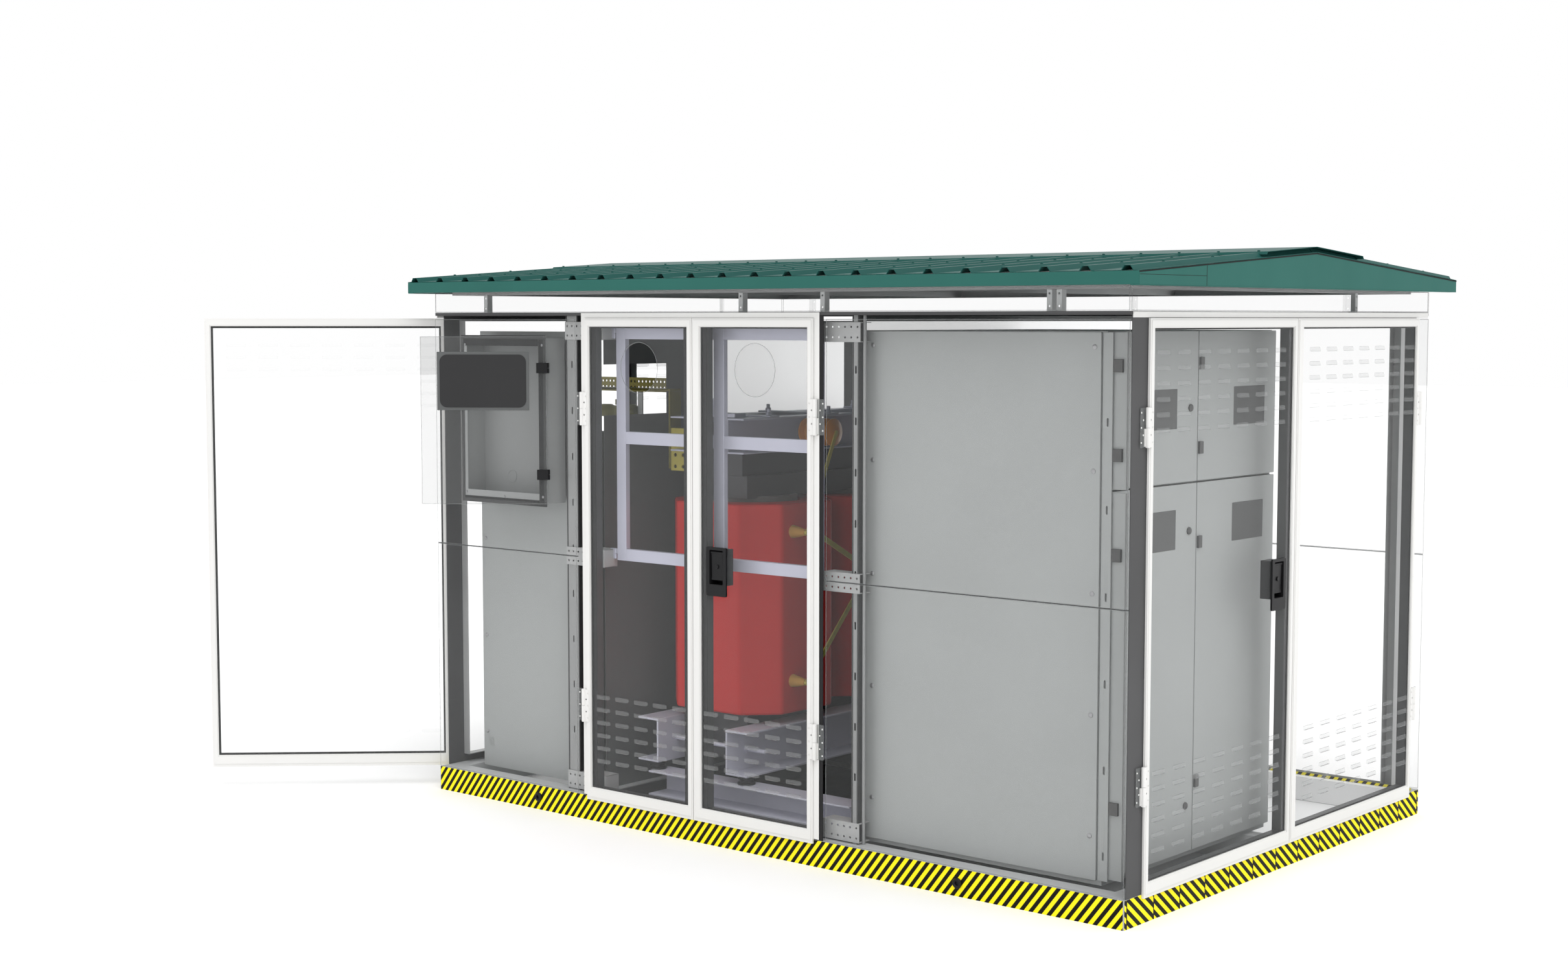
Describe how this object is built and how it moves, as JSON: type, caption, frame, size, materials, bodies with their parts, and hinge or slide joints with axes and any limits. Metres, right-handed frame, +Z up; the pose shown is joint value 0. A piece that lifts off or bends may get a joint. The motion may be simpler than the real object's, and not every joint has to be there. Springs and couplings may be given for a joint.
{
  "type": "pad-mounted transformer",
  "caption": "Walk-around transformer kiosk with clear walls, ribbed roof, hinged end and front doors, dry-type transformer, low-voltage board and medium-voltage cubicles.",
  "frame": {"origin": "centre of the footprint on the underside of the base", "axes": "+Z up, +X along the length towards the medium-voltage end, -Y towards the long side with doors"},
  "size_m": [4.5077, 3.1336, 2.4012],
  "materials": {
    "base_paint": "satin grey paint with hazard stripes on the faces",
    "frame_paint": "dark grey satin paint",
    "roof_paint": "green satin coating",
    "clear_sheet": "clear smooth sheet",
    "door_paint": "off-white satin powder coat",
    "latch_black": "black moulded",
    "zinc_steel": "galvanised, lavender grey",
    "cubicle_paint": "light grey satin powder coat",
    "partition_paint": "dark grey satin paint",
    "polished_steel": "polished",
    "cast_resin": "red cast resin, satin",
    "core_steel": "dark lacquered laminations",
    "bus_paint": "yellow-green lacquer"
  },
  "bodies": {
    "kiosk": {"base_frame": "base_paint", "front_frame": "frame_paint", "right_end_frame": "frame_paint", "left_end_frame": "frame_paint", "rear_frame": "frame_paint", "top_rail": "frame_paint", "roof_frame": "partition_paint", "front_roof_sheet": "roof_paint", "rear_roof_sheet": "roof_paint", "ridge_cap": "roof_paint", "front_fascia": "roof_paint", "rear_fascia": "roof_paint", "right_gable": "roof_paint", "left_gable": "roof_paint", "front_left_upper_panel": "clear_sheet", "front_left_lower_panel": "clear_sheet", "front_right_upper_panel": "clear_sheet", "front_right_lower_panel": "clear_sheet", "rear_upper_panel": "clear_sheet", "rear_lower_panel": "clear_sheet", "meter_box": "cubicle_paint", "low_voltage_partition": "partition_paint", "medium_voltage_partition": "partition_paint", "bus_shield": "polished_steel", "low_voltage_board": "cubicle_paint", "transformer_core": "core_steel", "coil_1": "cast_resin", "coil_2": "cast_resin", "coil_3": "cast_resin", "delta_link_1": "bus_paint", "delta_link_2": "bus_paint", "delta_link_3": "bus_paint", "core_top_clamp": "zinc_steel", "skid_base": "zinc_steel", "neutral_bar": "bus_paint", "cubicle_body": "cubicle_paint"},
    "front_left_leaf": {"front_left_leaf_frame": "door_paint", "front_left_leaf_pane": "clear_sheet"},
    "front_right_leaf": {"front_right_leaf_frame": "door_paint", "front_right_leaf_pane": "clear_sheet", "front_right_latch_pan": "latch_black"},
    "front_right_lever": {"front_right_latch_lever": "latch_black"},
    "right_near_leaf": {"right_near_leaf_frame": "door_paint", "right_near_leaf_pane": "clear_sheet", "right_near_latch_pan": "latch_black"},
    "right_near_lever": {"right_near_latch_lever": "latch_black"},
    "right_far_leaf": {"right_far_leaf_frame": "door_paint", "right_far_leaf_pane": "clear_sheet"},
    "left_near_leaf": {"left_near_leaf_frame": "door_paint", "left_near_leaf_pane": "clear_sheet"},
    "left_far_leaf": {"left_far_leaf_frame": "door_paint", "left_far_leaf_pane": "clear_sheet", "left_far_latch_pan": "latch_black"},
    "left_far_lever": {"left_far_latch_lever": "latch_black"},
    "gate": {"safety_gate": "zinc_steel"},
    "meter_lid": {"meter_door": "clear_sheet"},
    "cubicle_near_upper": {"cubicle_near_upper_door": "cubicle_paint"},
    "cubicle_near_lower": {"cubicle_near_lower_door": "cubicle_paint"},
    "cubicle_far_upper": {"cubicle_far_upper_door": "cubicle_paint"},
    "cubicle_far_lower": {"cubicle_far_lower_door": "cubicle_paint"}
  },
  "joints": [
    {"name": "front_left_leaf_hinge", "type": "hinge", "parent": "kiosk", "child": "front_left_leaf", "pos_m": [-0.857, -1.2135, 1.1], "axis": [0, 0, 1], "range_deg": [-105, 0]},
    {"name": "front_right_leaf_hinge", "type": "hinge", "parent": "kiosk", "child": "front_right_leaf", "pos_m": [0.414, -1.2135, 1.1], "axis": [0, 0, 1], "range_deg": [0, 110]},
    {"name": "right_near_leaf_hinge", "type": "hinge", "parent": "kiosk", "child": "right_near_leaf", "pos_m": [1.8135, -1.1, 1.1], "axis": [0, 0, 1], "range_deg": [-110, 0]},
    {"name": "right_far_leaf_hinge", "type": "hinge", "parent": "kiosk", "child": "right_far_leaf", "pos_m": [1.8135, 1.1, 1.1], "axis": [0, 0, 1], "range_deg": [0, 110]},
    {"name": "left_near_leaf_hinge", "type": "hinge", "parent": "kiosk", "child": "left_near_leaf", "pos_m": [-1.8135, -1.1, 1.1], "axis": [0, 0, 1], "range_deg": [-133, 20]},
    {"name": "left_far_leaf_hinge", "type": "hinge", "parent": "kiosk", "child": "left_far_leaf", "pos_m": [-1.8135, 1.1, 1.1], "axis": [0, 0, 1], "range_deg": [-110, 0]},
    {"name": "safety_gate_hinge", "type": "hinge", "parent": "kiosk", "child": "gate", "pos_m": [-0.772, -1.1, 1.6], "axis": [0, 0, 1], "range_deg": [-2.2, 15]},
    {"name": "meter_door_hinge", "type": "hinge", "parent": "kiosk", "child": "meter_lid", "pos_m": [-1.06, -1.212, 1.7], "axis": [0, 0, 1], "range_deg": [-38, 47]},
    {"name": "cubicle_near_upper_hinge", "type": "hinge", "parent": "kiosk", "child": "cubicle_near_upper", "pos_m": [1.65, -1.076, 1.8], "axis": [0, 0, 1], "range_deg": [-8, 0]},
    {"name": "cubicle_near_lower_hinge", "type": "hinge", "parent": "kiosk", "child": "cubicle_near_lower", "pos_m": [1.65, -1.076, 0.82], "axis": [0, 0, 1], "range_deg": [-8, 0]},
    {"name": "cubicle_far_upper_hinge", "type": "hinge", "parent": "kiosk", "child": "cubicle_far_upper", "pos_m": [1.65, -0.474, 1.8], "axis": [0, 0, 1], "range_deg": [-8, 0]},
    {"name": "cubicle_far_lower_hinge", "type": "hinge", "parent": "kiosk", "child": "cubicle_far_lower", "pos_m": [1.65, -0.474, 0.82], "axis": [0, 0, 1], "range_deg": [-8, 0]},
    {"name": "front_right_lever_pivot", "type": "hinge", "parent": "front_right_leaf", "child": "front_right_lever", "pos_m": [-0.095, -1.2075, 1.196], "axis": [-1, 0, 0], "range_deg": [0, 40], "stiffness_Nm_per_rad": 0.6},
    {"name": "right_near_lever_pivot", "type": "hinge", "parent": "right_near_leaf", "child": "right_near_lever", "pos_m": [1.8075, -0.134, 1.196], "axis": [0, -1, 0], "range_deg": [0, 40], "stiffness_Nm_per_rad": 0.6},
    {"name": "left_far_lever_pivot", "type": "hinge", "parent": "left_far_leaf", "child": "left_far_lever", "pos_m": [-1.8075, 0.134, 1.196], "axis": [0, 1, 0], "range_deg": [0, 40], "stiffness_Nm_per_rad": 0.6}
  ]
}
